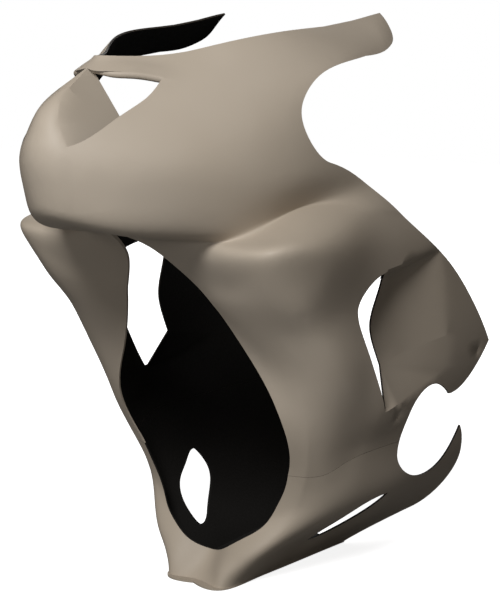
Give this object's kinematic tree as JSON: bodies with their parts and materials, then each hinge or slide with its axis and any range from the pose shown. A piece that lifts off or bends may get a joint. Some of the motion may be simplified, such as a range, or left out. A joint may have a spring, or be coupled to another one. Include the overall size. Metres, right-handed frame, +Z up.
{
  "type": "motorcycle fairing",
  "caption": "Full race fairing for a sports motorcycle: pointed nose with intakes, side panels with open vents and a belly pan, unpainted and without windscreen.",
  "frame": {"origin": "midway between the two front fixing places, in the plane of symmetry", "axes": "-Y towards the nose, +X towards the rider's left side, +Z up"},
  "size_m": [0.5332, 0.8159, 0.8657],
  "materials": {
    "primer_shell": "satin beige-grey gelcoat outside, near-black moulded face inside"
  },
  "bodies": {
    "root": {"upper_fairing": "primer_shell", "lower_fairing": "primer_shell"}
  },
  "joints": []
}
